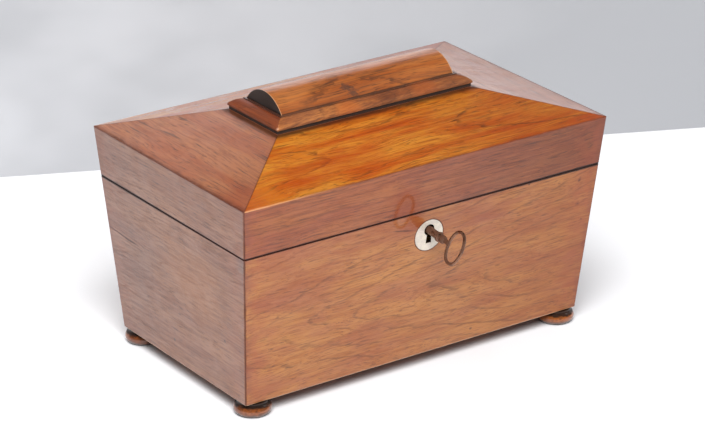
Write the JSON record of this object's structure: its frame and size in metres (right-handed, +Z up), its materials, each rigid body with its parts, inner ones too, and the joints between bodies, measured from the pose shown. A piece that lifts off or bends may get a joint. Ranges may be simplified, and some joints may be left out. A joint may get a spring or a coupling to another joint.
{
  "type": "tea caddy",
  "caption": "Sarcophagus-shaped rosewood tea caddy with canted sides, hipped lid with a half-round crest, bun feet, lidded tea compartments inside and a key in its lock.",
  "frame": {"origin": "on the plane the feet stand on, at the middle of the whole footprint, key included", "axes": "+X along the front to the right of a person who faces it, +Y from the front to the back, +Z up"},
  "size_m": [0.23, 0.1688, 0.1496],
  "materials": {
    "rosewood": "polished",
    "mahogany": "satin",
    "ebonised_wood": "polished",
    "mother_of_pearl": "polished",
    "bone": "polished",
    "brass": "worn",
    "steel": "worn",
    "key_steel": "browned",
    "foil": "dull",
    "velvet": "pile"
  },
  "bodies": {
    "case": {"front_wall": "rosewood", "back_wall": "rosewood", "left_wall": "rosewood", "right_wall": "rosewood", "bottom_board": "mahogany", "foot_front_left": "rosewood", "foot_front_right": "rosewood", "foot_back_left": "rosewood", "foot_back_right": "rosewood", "escutcheon": "mother_of_pearl", "lock_plate": "brass", "lock_cap": "brass", "lock_pin": "steel", "lock_screws": "steel", "lining_front": "mahogany", "lining_back": "mahogany", "lining_left": "mahogany", "lining_right": "mahogany", "divider": "mahogany", "tea_liner_left": "foil", "tea_liner_right": "foil", "hinge_leaf_base_left": "brass", "hinge_leaf_base_right": "brass", "hinge_pin_left": "steel", "hinge_pin_right": "steel", "hinge_screws_base": "steel"},
    "lid": {"lid_front": "rosewood", "lid_back": "rosewood", "lid_left": "rosewood", "lid_right": "rosewood", "roof_front": "rosewood", "roof_back": "rosewood", "roof_left": "rosewood", "roof_right": "rosewood", "crown_board": "mahogany", "plinth": "ebonised_wood", "skirt_front": "rosewood", "skirt_back": "rosewood", "skirt_left": "rosewood", "skirt_right": "rosewood", "crest": "rosewood", "lid_lining": "velvet", "link_plate": "brass", "link_screws": "steel", "hinge_leaf_lid_left": "brass", "hinge_leaf_lid_right": "brass", "hinge_screws_lid": "steel"},
    "key": {"key": "key_steel"},
    "bolt": {"lock_bolt": "brass"},
    "inner_lid_left": {"tea_lid_left": "rosewood", "tea_knob_left": "bone"},
    "inner_lid_right": {"tea_lid_right": "rosewood", "tea_knob_right": "bone"}
  },
  "joints": [
    {"name": "lid_hinge", "type": "hinge", "parent": "case", "child": "lid", "pos_m": [0, 0.08234, 0.0936], "axis": [-1, 0, 0], "range_deg": [0, 95]},
    {"name": "key_turn", "type": "hinge", "parent": "case", "child": "key", "pos_m": [0.0018, -0.0559, 0.0817], "axis": [0, 0.9939, 0.1106], "range_deg": [-24, 336]},
    {"name": "bolt_slide", "type": "slide", "parent": "case", "child": "bolt", "axis": [1, 0, 0], "range_m": [-0.00021, 0.00299]},
    {"name": "inner_lid_left_lift", "type": "slide", "parent": "case", "child": "inner_lid_left", "axis": [0, 0, 1], "range_m": [0, 0.015]},
    {"name": "inner_lid_right_lift", "type": "slide", "parent": "case", "child": "inner_lid_right", "axis": [0, 0, 1], "range_m": [0, 0.015]}
  ],
  "couplings": [
    {"joint": "key_turn", "follows": "bolt_slide", "rad_per_m": 1963.5}
  ]
}
